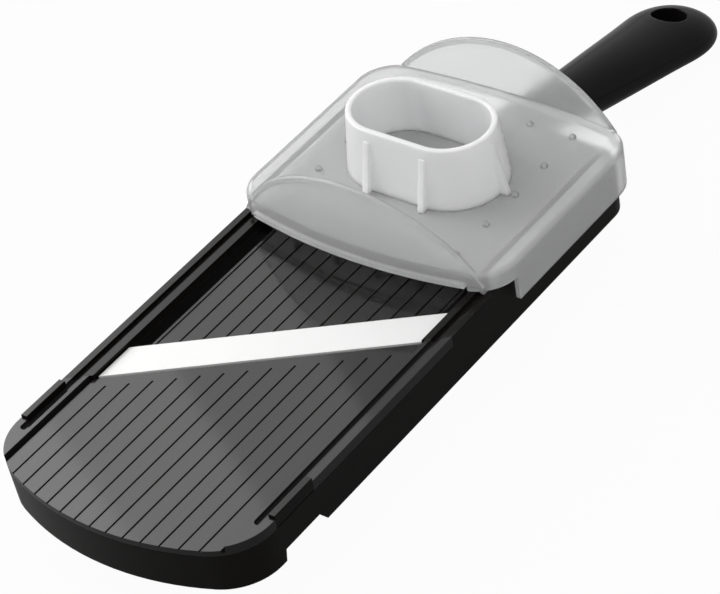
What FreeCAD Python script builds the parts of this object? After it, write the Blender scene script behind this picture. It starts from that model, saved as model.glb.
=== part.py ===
"""Adjustable mandoline slicer: ceramic blade, lifting runway, drooping handle and sliding guard.

The design frame has X across the slicer, Y from the tip to the handle and Z up, with Y zero at
the front of the tip and Z zero on the landing deck. All sizes are millimetres.
"""
import FreeCAD, Part
import Sketcher
import math
import os
import re

Vector = FreeCAD.Vector
NEAR = 0.01
RIGHT_ANGLE = 90.0

SIZES = [
    ("body_width", 90.0, "outer width over the side walls"),
    ("body_length", 201.3, "tip front to rear wall face"),
    ("wall_depth", 15.7, "landing deck down to the foot of the walls"),
    ("rim_height", 1.4, "rails and rim above the landing deck"),
    ("wall", 2.2, "side wall and rail thickness"),
    ("foot_round", 0.8, "rounding round the foot of the walls"),
    ("end_wall", 3.0, "rear wall and tip apron thickness"),
    ("tip_radius", 88.0, "plan radius of the tip"),
    ("tip_corner", 18.0, "plan radius of the tip's corners"),
    ("tip_lean", 1.2, "how far the apron's foot stands inside its top edge"),
    ("rear_corner", 8.0, "plan radius of the rear corners"),
    ("rail_width", 7.0, "rail, from the deck's side to the wall's outside"),
    ("deck_thick", 2.0, "landing deck plate"),
    ("gap_width", 1.0, "gap beside the landing deck"),
    ("gap_depth", 1.2, "depth of that gap below the deck"),
    ("ledge_width", 1.2, "ledge between the side gap and the guard groove"),
    ("guide_depth", 1.2, "guard groove below the rim"),
    ("guide_front", 20.8, "front end of the guard groove"),
    ("rib_pitch", 5.5, "spacing of the deck and runway grooves"),
    ("rib_count", 13, "number of those grooves"),
    ("rib_groove", 0.6, "width of one groove"),
    ("rib_depth", 0.5, "depth of one groove"),
    ("rib_end", 4.4, "groove end to the seam, measured along Y"),
    ("seam_mid", 76.0, "seam where it crosses the centre line"),
    ("seam_rise", 65.6, "how far the seam climbs over the deck's and rails' width"),
    ("blade_gap", 1.2, "seam to blade spine, measured along Y"),
    ("blade_depth", 14.2, "blade spine to cutting edge, measured along Y"),
    ("blade_side", 0.5, "gap beside the blade"),
    ("blade_thick", 2.0, "blade thickness"),
    ("bevel_width", 4.0, "width of the ground bevel"),
    ("bevel_height", 1.8, "height of the ground bevel"),
    ("seat_depth", 9.0, "blade seat width, measured along Y"),
    ("seat_thick", 3.0, "blade seat thickness"),
    ("runway_side", 3.8, "gap beside the runway"),
    ("runway_thick", 2.0, "runway plate thickness"),
    ("runway_gap", 0.6, "cutting edge to runway, measured along Y"),
    ("rear_gap", 1.0, "runway to rear wall"),
    ("slice_rest", 2.0, "runway below the landing deck as shown"),
    ("slice_max", 3.0, "thickest setting"),
    ("boss_radius", 7.0, "runway boss"),
    ("boss_length", 4.2, "runway boss below its plate"),
    ("spindle_radius", 4.0, "dial spindle"),
    ("run_clear", 0.05, "radial running clearance"),
    ("slide_clear", 0.3, "clearance of parts that slide or lift"),
    ("dial_back", 52.3, "dial centre to the rear face"),
    ("dial_radius", 17.0, "dial"),
    ("dial_thick", 2.6, "dial disc"),
    ("dial_lift", 0.5, "dial above the foot of the walls"),
    ("grip_count", 20, "finger notches round the dial"),
    ("grip_radius", 1.1, "radius of one finger notch"),
    ("bridge_thick", 1.8, "cross bridge"),
    ("bridge_length", 26.0, "cross bridge along Y"),
    ("clip_thick", 0.8, "dial clip"),
    ("clip_radius", 6.2, "dial clip outside"),
    ("clip_seat", 0.6, "depth of the clip's groove in the spindle"),
    ("lug_width", 4.2, "lugs and shelves inside the walls"),
    ("screw_radius", 1.0, "screw shank"),
    ("head_radius", 2.0, "screw head"),
    ("head_thick", 1.4, "screw head height"),
    ("screw_bite", 3.6, "screw length past the piece it clamps"),
    ("leaf_thick", 0.5, "detent leaf"),
    ("leaf_length", 22.0, "detent leaf"),
    ("detent_radius", 0.55, "shank of the leaf's screw"),
    ("notch_front", 26.2, "bowl notch, front of its mouth"),
    ("notch_length", 19.4, "bowl notch along the wall's foot"),
    ("notch_depth", 4.4, "bowl notch height"),
    ("notch_slope", 3.4, "run of the notch's rear slope"),
    ("block_front", 24.8, "rim block, front end"),
    ("block_length", 17.0, "rim block along the rail"),
    ("block_height", 1.0, "rim block above the rim"),
    ("block_root", 3.0, "rim block below the rim"),
    ("handle_length", 113.9, "handle along its own axis"),
    ("handle_root", 18.4, "handle width at the rear wall"),
    ("handle_end", 30.8, "handle width near its end"),
    ("handle_thick", 15.2, "handle thickness"),
    ("handle_droop", 12.5, "handle angle below the deck, in degrees"),
    ("handle_drop", 6.9, "handle axis below the deck at the rear wall"),
    ("hang_radius", 6.0, "hanging hole"),
    ("hang_inset", 18.0, "hanging hole to the handle's end"),
    ("tang_width", 16.0, "handle tang"),
    ("tang_height", 5.4, "handle tang"),
    ("tang_length", 13.0, "handle tang inside the frame"),
    ("tang_top", 6.0, "tang's upper face below the deck"),
    ("shelf_thick", 2.0, "shelf under the tang"),
    ("guard_length", 77.9, "guard along the rails at its ends"),
    ("guard_past", 4.1, "parked guard past the rear face"),
    ("guard_over", 2.6, "guard's side walls past the frame"),
    ("guard_top", 8.0, "guard plate above the deck"),
    ("guard_wall", 1.6, "guard plate and shield thickness"),
    ("guard_corner", 13.0, "plan radius of the guard's corners"),
    ("skirt_drop", 14.2, "skirts below the guard's top"),
    ("skirt_start", 11.5, "guard's front to its deep side walls"),
    ("tab_low", 2.0, "guard's corners above the deck"),
    ("crease", 1.8, "rounding of the guard's upper edge"),
    ("lip_reach", 1.4, "front lip in front of the shield"),
    ("lip_drop", 4.2, "front lip below the guard's top"),
    ("shield_bow", 4.6, "forward bow of the front shield"),
    ("front_inset", 4.6, "front shield's end inside the wall's outside"),
    ("front_rise", 21.8, "front shield above the plate"),
    ("rear_inset", 6.4, "rear shield's end inside the wall's outside"),
    ("rear_rise", 17.6, "rear shield above the plate"),
    ("rear_bow", 2.5, "rearward bow of the rear shield"),
    ("runner_width", 2.0, "guard runner in its groove"),
    ("runner_start", 2.0, "guard's front to its runners"),
    ("pin_pitch_x", 15.25, "gripper pins across"),
    ("pin_pitch_y", 15.5, "gripper pins along"),
    ("pin_start", 6.0, "guard's front to the first row of pins"),
    ("pin_radius", 1.1, "gripper pin shank"),
    ("dome_radius", 1.15, "gripper pin head"),
    ("pin_tip", 1.2, "pin tips above the landing deck"),
    ("pin_point", 0.2, "pin tip radius"),
    ("cup_start", 36.3, "guard's front to the cup's centre"),
    ("cup_half", 10.0, "half of the cup's straight sides"),
    ("cup_rim", 14.4, "end radius at the cup's rim"),
    ("cup_base", 16.4, "end radius at the cup's base"),
    ("cup_height", 20.6, "cup above the guard plate"),
    ("cup_wall", 1.9, "cup wall"),
    ("fin_width", 2.0, "cup ribs"),
    ("fin_reach", 1.3, "cup ribs past the wall at the base"),
]
ALIASES = [name for name, _, _ in SIZES]
# Sizes that follow from others, so that the fits hold when one size changes.
FOLLOWS = {
    "deck_width": "(body_width - rail_width * 2)",
    "blade_width": "(deck_width - blade_side * 2)",
    "runway_width": "(deck_width - runway_side * 2)",
    "guard_width": "(body_width + guard_over * 2)",
    "dial_place": "(body_length - dial_back)",
    "guard_rear": "(body_length + guard_past)",
    "guard_front": "(guard_rear - guard_length)",
    "skirt_front": "(guard_front + skirt_start)",
    "runner_front": "(guard_front + runner_start)",
    "pin_front": "(guard_front + pin_start)",
    "cup_place": "(guard_front + cup_start)",
    "front_half": "(body_width / 2 - front_inset)",
    "rear_half": "(body_width / 2 - rear_inset)",
}

DOC = FreeCAD.newDocument("mandoline")
SHEET = DOC.addObject("Spreadsheet::Sheet", "dims")
NODES = []


def fill_sheet():
    """Write the driving sizes to the sheet, one row each: a note, a number and its alias."""
    for row, (alias, number, note) in enumerate(SIZES, start=1):
        SHEET.set("A%d" % row, note)
        SHEET.set("B%d" % row, str(number))
        SHEET.setAlias("B%d" % row, alias)
    DOC.recompute()


def formula(text):
    """A sheet formula with each size name pointed at its cell, or at the sizes it follows from."""
    def point(found):
        name = found.group(0)
        if name in FOLLOWS:
            return formula(FOLLOWS[name])
        return "dims." + name if name in ALIASES else name
    return re.sub(r"[a-z]\w*", point, text)


def value(text):
    """The number that a formula gives with the sheet's present sizes."""
    return float(SHEET.evalExpression(formula(text)))


def bind(thing, **fields):
    """Bind properties of an object to formulas."""
    for field, text in fields.items():
        thing.setExpression(field, formula(text))
    return thing


def place(thing, x="0", y="0", z="0"):
    """Bind an object's position to formulas."""
    for axis, text in zip("xyz", (x, y, z)):
        thing.setExpression("Placement.Base." + axis, formula(text))
    return thing


# Primitive solids and booleans

def box(name, x, y, z):
    """A box between the low and high formulas given for each axis."""
    solid = DOC.addObject("Part::Box", name)
    sides = ["(%s) - (%s)" % (high, low) for low, high in (x, y, z)]
    bind(solid, Length=sides[0], Width=sides[1], Height=sides[2])
    return place(solid, x[0], y[0], z[0])


def cylinder(name, radius, x, y, z):
    """An upright cylinder between two heights."""
    solid = DOC.addObject("Part::Cylinder", name)
    bind(solid, Radius=radius, Height="(%s) - (%s)" % (z[1], z[0]))
    return place(solid, x, y, z[0])


def lying(name, radius, x, y, z):
    """A cylinder lying along X between two formulas."""
    solid = DOC.addObject("Part::Cylinder", name)
    bind(solid, Radius=radius, Height="(%s) - (%s)" % (x[1], x[0]))
    solid.Placement = FreeCAD.Placement(Vector(0, 0, 0), FreeCAD.Rotation(Vector(0, 1, 0), RIGHT_ANGLE))
    return place(solid, x[0], y, z)


def cone(name, low, high, x, y, z):
    """An upright cone between two heights, with its low and high radii."""
    solid = DOC.addObject("Part::Cone", name)
    bind(solid, Radius1=low, Radius2=high, Height="(%s) - (%s)" % (z[1], z[0]))
    return place(solid, x, y, z[0])


def fuse(name, parts):
    """Several solids as one."""
    joined = DOC.addObject("Part::MultiFuse", name)
    joined.Shapes = parts
    return joined


def cut(name, base, tools):
    """A solid with one or more tools taken away."""
    tool = tools[0] if len(tools) == 1 else fuse(name + "_tools", tools)
    result = DOC.addObject("Part::Cut", name)
    result.Base = base
    result.Tool = tool
    return result


def common(name, base, tool):
    """What two solids share."""
    result = DOC.addObject("Part::Common", name)
    result.Base = base
    result.Tool = tool
    return result


def group(name, solids):
    """Separate solids kept together."""
    bundle = DOC.addObject("Part::Compound", name)
    bundle.Links = solids
    return bundle


def rounded(name, base, radius, chooses):
    """A solid with a fillet on each edge that the test chooses."""
    DOC.recompute()
    size = value(radius)
    picked = [n for n, edge in enumerate(base.Shape.Edges, start=1) if chooses(edge)]
    result = DOC.addObject("Part::Fillet", name)
    result.Base = base
    result.Edges = [(n, size, size) for n in picked]
    return result


def upright(edge):
    """Whether an edge stands mostly along Z."""
    ends = [vertex.Point for vertex in edge.Vertexes]
    if len(ends) < 2:
        return False
    rise = ends[1] - ends[0]
    return abs(rise.z) > 0.9 * rise.Length


# Sketches and bodies

def plane_of(body, role):
    """The origin plane of a body that has a given role."""
    return [feature for feature in body.Origin.OriginFeatures if feature.Role == role][0]


def sketch(body, name, role, start, outline, axis=None):
    """A closed polygon on an origin plane, each corner bound to formulas.

    A formula pair in axis adds a construction line from the origin, for patterns.
    """
    body.AllowCompound = True
    drawing = body.newObject("Sketcher::SketchObject", name)
    drawing.AttachmentSupport = [(plane_of(body, role), "")]
    drawing.MapMode = "FlatFace"
    drawing.setExpression("AttachmentOffset.Base.z", formula(start))
    corners = [Vector(value(u), value(v), 0) for u, v in outline]
    for n, corner in enumerate(corners):
        drawing.addGeometry(Part.LineSegment(corner, corners[(n + 1) % len(corners)]), False)
    for n, (u, v) in enumerate(outline):
        drawing.addConstraint(Sketcher.Constraint("Coincident", n, 2, (n + 1) % len(outline), 1))
        for kind, text in (("DistanceX", u), ("DistanceY", v)):
            number = drawing.addConstraint(Sketcher.Constraint(kind, n, 1, value(text)))
            drawing.setExpression("Constraints[%d]" % number, formula(text))
    if axis:
        line = Part.LineSegment(Vector(0, 0, 0), Vector(value(axis[0]), value(axis[1]), 0))
        drawing.addGeometry(line, True)
    return drawing


def pad(body, name, drawing, length):
    """A pad of a sketch along its normal."""
    feature = body.newObject("PartDesign::Pad", name)
    feature.Profile = drawing
    return bind(feature, Length=length)


def pocket(body, name, drawing, length):
    """A pocket of a sketch against its normal."""
    feature = body.newObject("PartDesign::Pocket", name)
    feature.Profile = drawing
    return bind(feature, Length=length)


def prism(name, role, start, length, outline):
    """A body of one padded polygon."""
    body = DOC.addObject("PartDesign::Body", name)
    pad(body, name + "_pad", sketch(body, name + "_sketch", role, start, outline), length)
    return body


def rectangle(low_u, high_u, low_v, high_v):
    """Corners of a rectangle, anticlockwise."""
    return [(low_u, low_v), (high_u, low_v), (high_u, high_v), (low_u, high_v)]


def node(label, thing):
    """Name an object as a sub-part of the slicer."""
    thing.Label = label
    NODES.append(thing)
    return thing


# Lines that several pieces share

def seam_line(x, past="0"):
    """Y of a line parallel to the seam at a formula for X, moved along Y by past."""
    return "seam_mid + (%s) * seam_rise / body_width + (%s)" % (x, past)


def slanted(half, low, high):
    """Corners of a strip across the slicer between two lines parallel to the seam."""
    return [("-(%s)" % half, seam_line("-(%s)" % half, low)), (half, seam_line(half, low)),
            (half, seam_line(half, high)), ("-(%s)" % half, seam_line("-(%s)" % half, high))]


HALF = "body_width / 2"
INSIDE = "(body_width / 2 - wall)"
GUIDE = "(deck_width / 2 + gap_width + ledge_width)"
LEDGE = "(deck_width / 2 + gap_width)"
FOOT = "-wall_depth"
EDGE_PAST = "blade_gap + blade_depth"
BRIDGE_TOP = "(dial_thick + dial_lift + slide_clear + bridge_thick - wall_depth)"
RUNWAY_LOW = "(-slice_rest - runway_thick)"


def tip_block(name, y_front, y_rear, half, low, high, inset):
    """A block with the slicer's tip: a leaning arc with rounded corners, set in by inset."""
    block = box(name + "_block", ("-(%s)" % half, half), (y_front, y_rear), (low, high))
    lean = "tip_lean / (wall_depth + rim_height)"
    low_radius = "tip_radius - (%s) - (rim_height - (%s)) * %s" % (inset, low, lean)
    high_radius = "tip_radius - (%s) - (rim_height - (%s)) * %s" % (inset, high, lean)
    reach = cone(name + "_tip", low_radius, high_radius, "0", "tip_radius", (low, high))
    reach = fuse(name + "_plan", [reach, box(name + "_rest", ("-body_width", "body_width"),
                                              ("tip_radius", "body_length + tip_radius"), (low, high))])
    shape = common(name + "_form", block, reach)
    corner = "tip_corner - (%s)" % inset
    front = value("tip_radius") / 2
    return rounded(name, shape, corner, lambda e: upright(e) and e.CenterOfMass.y < front)


# Pieces of the body

def screws(label, spots, seat, bite):
    """A group of screws driven up from below, their heads under the seat height."""
    solids = []
    for n, (x, y) in enumerate(spots):
        name = "%s_%d" % (label, n)
        head = cylinder(name + "_head", "head_radius", x, y, ("(%s) - head_thick" % seat, seat))
        shank = cylinder(name + "_shank", "screw_radius", x, y, (seat, "(%s) + (%s)" % (seat, bite)))
        solids.append(fuse(name, [head, shank]))
    return node(label, group(label, solids))


def screw_holes(name, spots, seat, bite):
    """Clearance holes for those screws."""
    return [cylinder("%s_hole_%d" % (name, n), "screw_radius + run_clear", x, y,
                     (seat, "(%s) + (%s) + run_clear" % (seat, bite))) for n, (x, y) in enumerate(spots)]


SEAT_X = "(body_width / 2 - wall - head_radius - slide_clear)"
SEAT_SPOTS = [(x, seam_line(x, "blade_gap + seat_depth / 2")) for x in ("-" + SEAT_X, SEAT_X)]
SEAT_LOW = "(-blade_thick - seat_thick)"
SEAT_BITE = "seat_thick + blade_thick - 0.4 * guide_depth"
DECK_X = SEAT_X
DECK_SPOTS = [("-" + DECK_X, "block_front + block_length / 3"), (DECK_X, "block_front + block_length / 3"),
              (DECK_X, "seam_mid + head_radius * 4")]
DECK_LOW = "(-deck_thick - lug_width)"
DECK_BITE = "lug_width + deck_thick * 3 / 4"
BRIDGE_X = SEAT_X
BRIDGE_SPOTS = [(x, "dial_place + " + y) for x in ("-" + BRIDGE_X, BRIDGE_X)
                for y in ("bridge_length / 3", "-bridge_length / 3")]
BRIDGE_LOW = "(%s - bridge_thick)" % BRIDGE_TOP
BRIDGE_BITE = "bridge_thick + screw_bite"
TANG_LOW = "(-tang_top - tang_height)"
TANG_SPOTS = [(x, "body_length - end_wall - tang_length / 3") for x in ("-tang_width / 4", "tang_width / 4")]
SHELF_LOW = "(%s - shelf_thick)" % TANG_LOW
TANG_BITE = "shelf_thick + screw_bite"


def make_frame():
    """Walls, apron, rear wall and rear rails, open below and between the rails."""
    outer = tip_block("frame_outer", "-tip_radius", "body_length", HALF, FOOT, "rim_height", "0")
    limit = value("body_length") - 1
    outer = rounded("frame_corners", outer, "rear_corner", lambda e: upright(e) and e.CenterOfMass.y > limit)
    foot = NEAR - value("wall_depth")
    outer = rounded("frame_foot", outer, "foot_round", lambda e: e.BoundBox.ZMax < foot)
    hollow = tip_block("frame_hollow", "-tip_radius", "body_length - end_wall", INSIDE,
                       "-wall_depth - wall", "-deck_thick", "end_wall")
    throat = prism("frame_throat", "XY_Plane", "-deck_thick - rim_height", "deck_thick + rim_height * 3",
                   [("-deck_width / 2", seam_line("-deck_width / 2", "-blade_gap")),
                    ("deck_width / 2", seam_line("deck_width / 2", "-blade_gap")),
                    ("deck_width / 2", "body_length - end_wall"),
                    ("-deck_width / 2", "body_length - end_wall")])
    bay = prism("frame_bay", "XY_Plane", "-deck_thick", "deck_thick + rim_height * 3",
                [("-body_width", "-tip_radius"), ("body_width", "-tip_radius"),
                 ("body_width", seam_line("body_width")), ("-body_width", seam_line("-body_width"))])
    guides = [box("frame_guide_" + side, (low, high), ("0", "body_length * 2"),
                  ("rim_height - guide_depth", "rim_height * 3"))
              for side, low, high in (("left", "-" + INSIDE, "-" + GUIDE), ("right", GUIDE, INSIDE))]
    below = "-wall_depth - wall"
    notch = prism("frame_notch", "YZ_Plane", "-body_width", "body_width * 2",
                  [("notch_front", below), ("notch_front + notch_length", below),
                   ("notch_front + notch_length", FOOT),
                   ("notch_front + notch_length - notch_slope", "notch_depth - wall_depth"),
                   ("notch_front + notch_slope / 5", "notch_depth - wall_depth"), ("notch_front", FOOT)])
    tang = box("frame_socket", ("-tang_width / 2", "tang_width / 2"),
               ("body_length - end_wall - wall", "body_length + wall"), (TANG_LOW, "-tang_top"))
    shell = cut("frame_shell", outer, [hollow, throat, bay, notch, tang] + guides)
    lugs = []
    for n, (x, y) in enumerate(DECK_SPOTS):
        left = ("-" + INSIDE, "-%s + lug_width" % INSIDE)
        right = (INSIDE + " - lug_width", INSIDE)
        lugs.append(box("deck_lug_%d" % n, left if x[0] == "-" else right,
                        (y + " - lug_width", y + " + lug_width"), (DECK_LOW, "-deck_thick")))
    for side, low, high in (("left", "-" + INSIDE, "-%s + lug_width" % INSIDE),
                            ("right", INSIDE + " - lug_width", INSIDE)):
        lugs.append(box("bridge_lug_" + side, (low, high),
                        ("dial_place - bridge_length / 2", "dial_place + bridge_length / 2"),
                        (BRIDGE_TOP, "-deck_thick")))
    lugs.append(box("tang_shelf", ("-tang_width / 2 - lug_width", "tang_width / 2 + lug_width"),
                    ("body_length - end_wall - tang_length", "body_length - end_wall"),
                    (SHELF_LOW, TANG_LOW)))
    whole = fuse("frame_whole", [shell] + lugs)
    pockets = [box("block_pocket_" + side, (low, high), ("block_front", "block_front + block_length"),
                   ("rim_height - block_root", "rim_height * 3"))
               for side, low, high in (("left", "-" + HALF, "-" + INSIDE), ("right", INSIDE, HALF))]
    holes = screw_holes("deck", DECK_SPOTS, DECK_LOW, DECK_BITE)
    holes += screw_holes("bridge", BRIDGE_SPOTS, BRIDGE_LOW, BRIDGE_BITE)
    holes += screw_holes("seat", SEAT_SPOTS, SEAT_LOW, SEAT_BITE)
    holes += screw_holes("tang", TANG_SPOTS, SHELF_LOW, TANG_BITE)
    return node("frame", cut("frame_part", whole, pockets + holes))


def make_front_deck():
    """Landing deck with its grooves, side gaps, rim and guard grooves, ending at the seam."""
    front = prism("deck_front", "XY_Plane", "-deck_thick", "deck_thick + rim_height",
                  [("-body_width", "-tip_radius"), ("body_width", "-tip_radius"),
                   ("body_width", seam_line("body_width")), ("-body_width", seam_line("-body_width"))])
    blank = common("deck_blank", DOC.getObject("frame_outer"), front)
    recess = box("deck_recess", ("-" + LEDGE, LEDGE), ("-body_width", "body_length"), ("0", "rim_height * 3"))
    gaps = [box("deck_gap_" + side, (low, high), ("-body_width", "body_length"), ("-gap_depth", "rim_height"))
            for side, low, high in (("left", "-" + LEDGE, "-deck_width / 2"),
                                    ("right", "deck_width / 2", LEDGE))]
    tracks = []
    for side, low, high in (("left", "-" + INSIDE, "-" + GUIDE), ("right", GUIDE, INSIDE)):
        heights = ("rim_height - guide_depth", "rim_height * 3")
        round_end = "(%s - %s) / 2" % (INSIDE, GUIDE)
        tracks.append(box("deck_track_" + side, (low, high),
                          ("guide_front + " + round_end, "body_length"), heights))
        tracks.append(cylinder("deck_track_end_" + side, round_end, "(%s + %s) / 2" % (low, high),
                               "guide_front + " + round_end, heights))
    ribs = DOC.addObject("PartDesign::Body", "deck_grooves")
    first = "-rib_pitch * (rib_count - 1) / 2"
    strip = rectangle(first + " - rib_groove / 2", first + " + rib_groove / 2",
                      "-body_width - seam_rise", seam_line(first, "-rib_end"))
    drawing = sketch(ribs, "deck_groove_sketch", "XY_Plane", "-rib_depth", strip,
                     axis=("body_width", "seam_rise"))
    one = pad(ribs, "deck_groove", drawing, "rib_depth * 3")
    row = ribs.newObject("PartDesign::LinearPattern", "deck_groove_row")
    row.Originals = [one]
    row.Direction = (drawing, ["Axis0"])
    step = "rib_pitch * sqrt(body_width * body_width + seam_rise * seam_rise) / body_width"
    bind(row, Length="(rib_count - 1) * " + step, Occurrences="rib_count")
    ribs.Tip = row
    pockets = [box("rim_pocket_" + side, (low, high), ("block_front", "block_front + block_length"),
                   ("-deck_thick", "rim_height * 3"))
               for side, low, high in (("left", "-" + HALF, "-" + INSIDE), ("right", INSIDE, HALF))]
    holes = screw_holes("deck_plate", DECK_SPOTS, DECK_LOW, DECK_BITE)
    return node("front_deck", cut("deck_part", blank, [recess] + gaps + tracks + [ribs] + pockets + holes))


def make_rim_blocks():
    """Raised blocks set into the rails above the bowl notches."""
    for side, low, high in (("left", "-" + HALF, "-" + INSIDE), ("right", INSIDE, HALF)):
        block = box("block_" + side, (low, high), ("block_front", "block_front + block_length"),
                    ("rim_height - block_root", "rim_height + block_height"))
        top = value("rim_height + block_height") - NEAR
        node("rim_block_" + side, rounded("block_round_" + side, block, "block_height / 4",
                                          lambda e: e.CenterOfMass.z > top))


def make_blade():
    """Ceramic blade, ground on the underside of its handle-side edge."""
    blade = DOC.addObject("PartDesign::Body", "blade_body")
    plan = slanted("blade_width / 2", "blade_gap", EDGE_PAST)
    drawing = sketch(blade, "blade_plan", "XY_Plane", "-blade_thick", plan)
    slab = pad(blade, "blade_slab", drawing, "blade_thick")
    DOC.recompute()
    edge_y = value(seam_line("0", EDGE_PAST))
    low = [n for n, e in enumerate(slab.Shape.Edges, start=1)
           if abs(e.CenterOfMass.y - edge_y) < NEAR and e.CenterOfMass.z < -value("blade_thick") + NEAR]
    bevel = blade.newObject("PartDesign::Chamfer", "blade_bevel")
    bevel.Base = (slab, ["Edge%d" % n for n in low])
    bevel.ChamferType = "Two distances"
    bevel.FlipDirection = True
    bind(bevel, Size="bevel_width", Size2="bevel_height")
    DOC.recompute()
    if not low or bevel.Shape.Volume > slab.Shape.Volume - NEAR:
        raise RuntimeError("the blade has no bevel")
    node("blade", blade)


def make_blade_seat():
    """Diagonal bar under the blade, screwed up to the side flanges."""
    reach = INSIDE + " - slide_clear"
    plan = slanted(reach, "blade_gap", "blade_gap + seat_depth")
    bar = prism("seat_bar", "XY_Plane", SEAT_LOW, "seat_thick", plan)
    node("blade_seat", cut("seat_part", bar, screw_holes("bar", SEAT_SPOTS, SEAT_LOW, SEAT_BITE)))


def make_runway():
    """Lifting runway plate with its grooves and the threaded boss for the dial's spindle."""
    body = DOC.addObject("PartDesign::Body", "runway_body")
    side = "runway_width / 2"
    front = EDGE_PAST + " + runway_gap"
    plan = [("-" + side, seam_line("-" + side, front)), (side, seam_line(side, front)),
            (side, "body_length - end_wall - rear_gap"), ("-" + side, "body_length - end_wall - rear_gap")]
    pad(body, "runway_slab", sketch(body, "runway_plan", "XY_Plane", RUNWAY_LOW, plan), "runway_thick")
    first = "-rib_pitch * (rib_count - 1) / 2"
    strip = rectangle(first + " - rib_groove / 2", first + " + rib_groove / 2", "0", "body_length")
    drawing = sketch(body, "runway_groove_sketch", "XY_Plane", "-slice_rest", strip, axis=("body_width", "0"))
    one = pocket(body, "runway_groove", drawing, "rib_depth")
    row = body.newObject("PartDesign::LinearPattern", "runway_groove_row")
    row.Originals = [one]
    row.Direction = (drawing, ["Axis0"])
    bind(row, Length="(rib_count - 1) * rib_pitch", Occurrences="rib_count")
    body.Tip = row
    low = RUNWAY_LOW + " - boss_length"
    boss = cylinder("runway_boss", "boss_radius", "0", "dial_place", (low, RUNWAY_LOW))
    ears = box("runway_ears", ("slide_clear - deck_width / 2", "deck_width / 2 - slide_clear"),
               ("dial_place - boss_radius", "dial_place + boss_radius"),
               (RUNWAY_LOW, RUNWAY_LOW + " + runway_thick / 2"))
    bore = cylinder("runway_bore", "spindle_radius + run_clear", "0", "dial_place", (low, RUNWAY_LOW))
    node("runway_plate", cut("runway_part", fuse("runway_whole", [body, boss, ears]), [bore]))


def make_dial():
    """Thickness dial below the bridge, its spindle up through the bridge into the runway's boss."""
    low = "(dial_lift - wall_depth)"
    top = "(%s + dial_thick)" % low
    disc = cylinder("dial_disc", "dial_radius", "0", "dial_place", (low, top))
    count = int(value("grip_count"))
    notches = []
    for n in range(count):
        turn = 2 * math.pi * n / count
        notches.append(cylinder("dial_grip_%d" % n, "grip_radius", "dial_radius * %.6f" % math.cos(turn),
                                "dial_place + dial_radius * %.6f" % math.sin(turn), (low, top)))
    head = "%s - (slice_max - slice_rest) - slide_clear" % RUNWAY_LOW
    spindle = cylinder("dial_spindle", "spindle_radius", "0", "dial_place", (low, head))
    seat = (BRIDGE_TOP + " + run_clear", BRIDGE_TOP + " + run_clear + clip_thick")
    outside = cylinder("dial_seat_outside", "spindle_radius * 2", "0", "dial_place", seat)
    core = cylinder("dial_seat_core", "spindle_radius - clip_seat", "0", "dial_place", seat)
    groove = cut("dial_groove", outside, [core])
    node("adjust_dial", cut("dial_part", fuse("dial_whole", [disc, spindle]), notches + [groove]))
    washer = cylinder("clip_ring", "clip_radius", "0", "dial_place", seat)
    hole = cylinder("clip_hole", "spindle_radius - clip_seat + run_clear", "0", "dial_place", seat)
    mouth = box("clip_mouth", ("-spindle_radius / 2", "spindle_radius / 2"),
                ("dial_place", "dial_place + clip_radius * 2"), seat)
    node("dial_clip", cut("clip_part", washer, [hole, mouth]))


def make_bridge():
    """Bridge that carries the dial, and the leaf that holds the dial at a setting."""
    reach = INSIDE + " - slide_clear"
    plate = box("bridge_plate", ("-(%s)" % reach, reach),
                ("dial_place - bridge_length / 2", "dial_place + bridge_length / 2"),
                (BRIDGE_LOW, BRIDGE_TOP))
    leaf_x = "(dial_radius + slide_clear + leaf_thick)"
    post = box("bridge_post", (leaf_x, leaf_x + " + lug_width"),
               ("dial_place - leaf_length / 2", "dial_place - leaf_length / 2 + lug_width"),
               (BRIDGE_LOW + " - dial_thick", BRIDGE_LOW))
    bore = cylinder("bridge_bore", "spindle_radius + run_clear", "0", "dial_place", (BRIDGE_LOW, BRIDGE_TOP))
    holes = screw_holes("plate", BRIDGE_SPOTS, BRIDGE_LOW, BRIDGE_BITE)
    level = BRIDGE_LOW + " - dial_thick / 2 - slide_clear / 2"
    along = "dial_place - leaf_length / 2 + lug_width / 2"
    outer_x = leaf_x + " + lug_width"
    pilot = lying("post_pilot", "detent_radius + run_clear", (leaf_x, outer_x), along, level)
    whole = fuse("bridge_whole", [plate, post])
    node("cross_bridge", cut("bridge_part", whole, [bore, pilot] + holes))
    strip = box("leaf_strip", ("%s - leaf_thick" % leaf_x, leaf_x),
                ("dial_place - leaf_length / 2", "dial_place + leaf_length / 2"),
                (BRIDGE_LOW + " - dial_thick", BRIDGE_LOW + " - slide_clear"))
    slot = lying("leaf_hole", "detent_radius + run_clear", (leaf_x + " - leaf_thick", leaf_x), along, level)
    node("detent_leaf", cut("leaf_part", strip, [slot]))
    shank = lying("detent_shank", "detent_radius", (leaf_x + " - leaf_thick", outer_x), along, level)
    head = lying("detent_head", "detent_radius * 2", (outer_x, outer_x + " + leaf_thick * 2"), along, level)
    node("detent_screw", fuse("detent_part", [shank, head]))


HANDLE_RINGS = [(-0.15, 0.0, 0.96), (0.0, 0.0, 0.97), (0.2, 0.12, 1.0), (0.4, 0.34, 1.0), (0.6, 0.65, 1.0),
                (0.76, 0.9, 1.0), (0.86, 0.97, 0.98)]
END_RINGS = [(0.92, 0.87), (0.96, 0.67), (0.985, 0.43), (1.0, 0.06)]


def ring(name, along, half, thick):
    """An ellipse across the handle, at a share of its length."""
    ellipse = DOC.addObject("Part::Ellipse", name)
    bind(ellipse, MajorRadius=half, MinorRadius=thick)
    ellipse.Placement = FreeCAD.Placement(Vector(0, 0, 0), FreeCAD.Rotation(Vector(1, 0, 0), RIGHT_ANGLE))
    return place(ellipse, "0", "handle_length * %s" % along, "0")


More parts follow.
